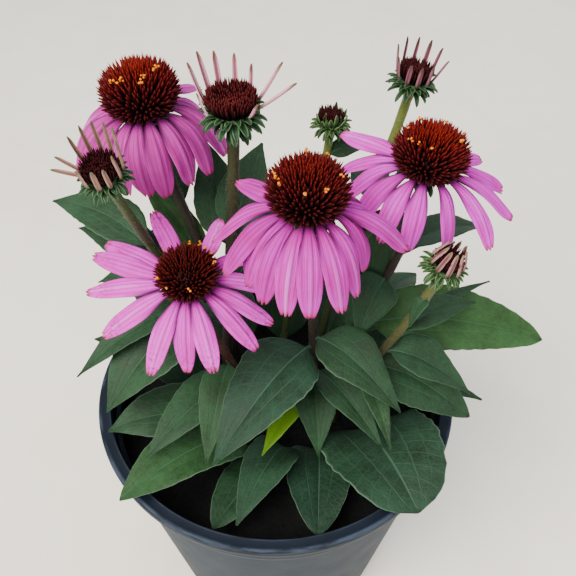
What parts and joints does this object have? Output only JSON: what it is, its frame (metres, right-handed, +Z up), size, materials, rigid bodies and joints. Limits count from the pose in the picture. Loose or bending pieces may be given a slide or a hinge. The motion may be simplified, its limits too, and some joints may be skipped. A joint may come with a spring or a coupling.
{
  "type": "potted coneflower",
  "caption": "Purple coneflower growing in a round nursery pot, with open blooms, younger heads and broad leaves.",
  "frame": {"origin": "centre of the pot's flat underside, on the surface it stands on", "axes": "+Z up along the pot's axis, -Y towards the front of the plant, +X to its right seen from the front"},
  "size_m": [0.2854, 0.2263, 0.3914],
  "materials": {
    "pot_plastic": "satin",
    "soil": "matte",
    "green_tissue": "matte",
    "petal": "matte",
    "young_ray": "matte",
    "cone": "satin"
  },
  "bodies": {
    "root": {"pot": "pot_plastic", "soil": "soil", "stem_bloom_1": "green_tissue", "stem_bloom_2": "green_tissue", "stem_bloom_3": "green_tissue", "stem_bloom_4": "green_tissue", "petals_bloom_1": "petal", "petals_bloom_2": "petal", "petals_bloom_3": "petal", "petals_bloom_4": "petal", "cone_bloom_1": "cone", "cone_bloom_2": "cone", "cone_bloom_3": "cone", "cone_bloom_4": "cone", "stem_bud_1": "green_tissue", "stem_bud_2": "green_tissue", "stem_bud_3": "green_tissue", "stem_bud_4": "green_tissue", "stem_bud_5": "green_tissue", "rays_bud_1": "young_ray", "rays_bud_2": "young_ray", "rays_bud_3": "young_ray", "rays_bud_5": "young_ray", "cone_bud_1": "cone", "cone_bud_2": "cone", "cone_bud_3": "cone", "cone_bud_4": "cone", "cone_bud_5": "cone", "basal_leaf_01": "green_tissue", "basal_leaf_02": "green_tissue", "basal_leaf_03": "green_tissue", "basal_leaf_04": "green_tissue", "basal_leaf_05": "green_tissue", "basal_leaf_06": "green_tissue", "basal_leaf_07": "green_tissue", "basal_leaf_08": "green_tissue", "basal_leaf_09": "green_tissue", "basal_leaf_10": "green_tissue", "basal_leaf_11": "green_tissue", "basal_leaf_12": "green_tissue", "basal_leaf_13": "green_tissue"}
  },
  "joints": []
}
